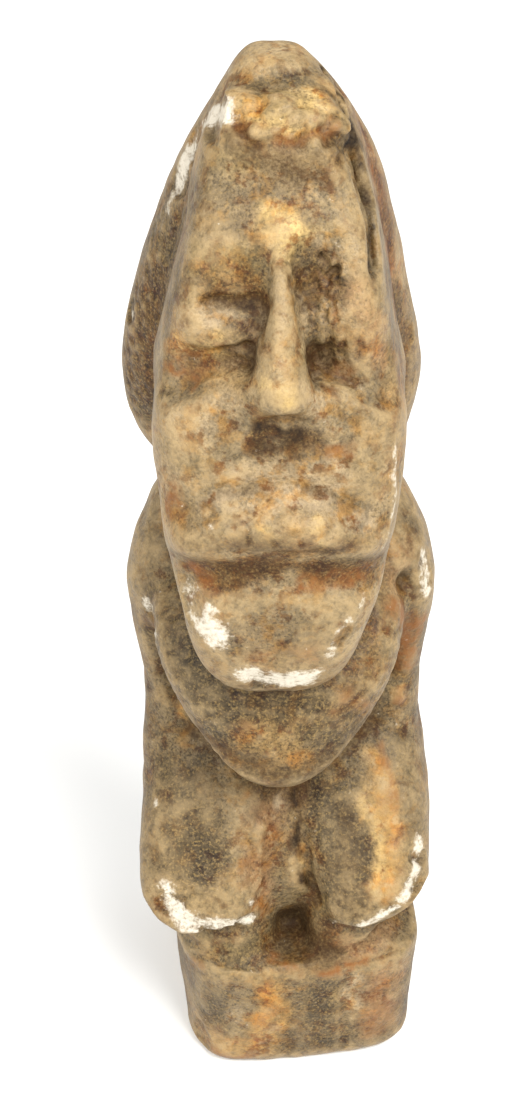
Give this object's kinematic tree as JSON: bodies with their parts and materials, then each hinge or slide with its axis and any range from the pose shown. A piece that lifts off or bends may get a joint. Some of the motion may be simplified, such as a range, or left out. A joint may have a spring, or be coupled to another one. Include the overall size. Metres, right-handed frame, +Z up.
{
  "type": "carved stone figure",
  "caption": "Crouching figure with a long head and folded legs, carved with its plinth from one piece of mottled soapstone.",
  "frame": {"origin": "centre of the part's footprint box, on the surface that it stands on", "axes": "+Z up from the plinth to the crown of the head, the face looks along -Y, +X is to the right of someone who faces it"},
  "size_m": [0.0428, 0.0476, 0.1515],
  "materials": {
    "soapstone": "satin"
  },
  "bodies": {
    "root": {"stone_figure": "soapstone"}
  },
  "joints": []
}
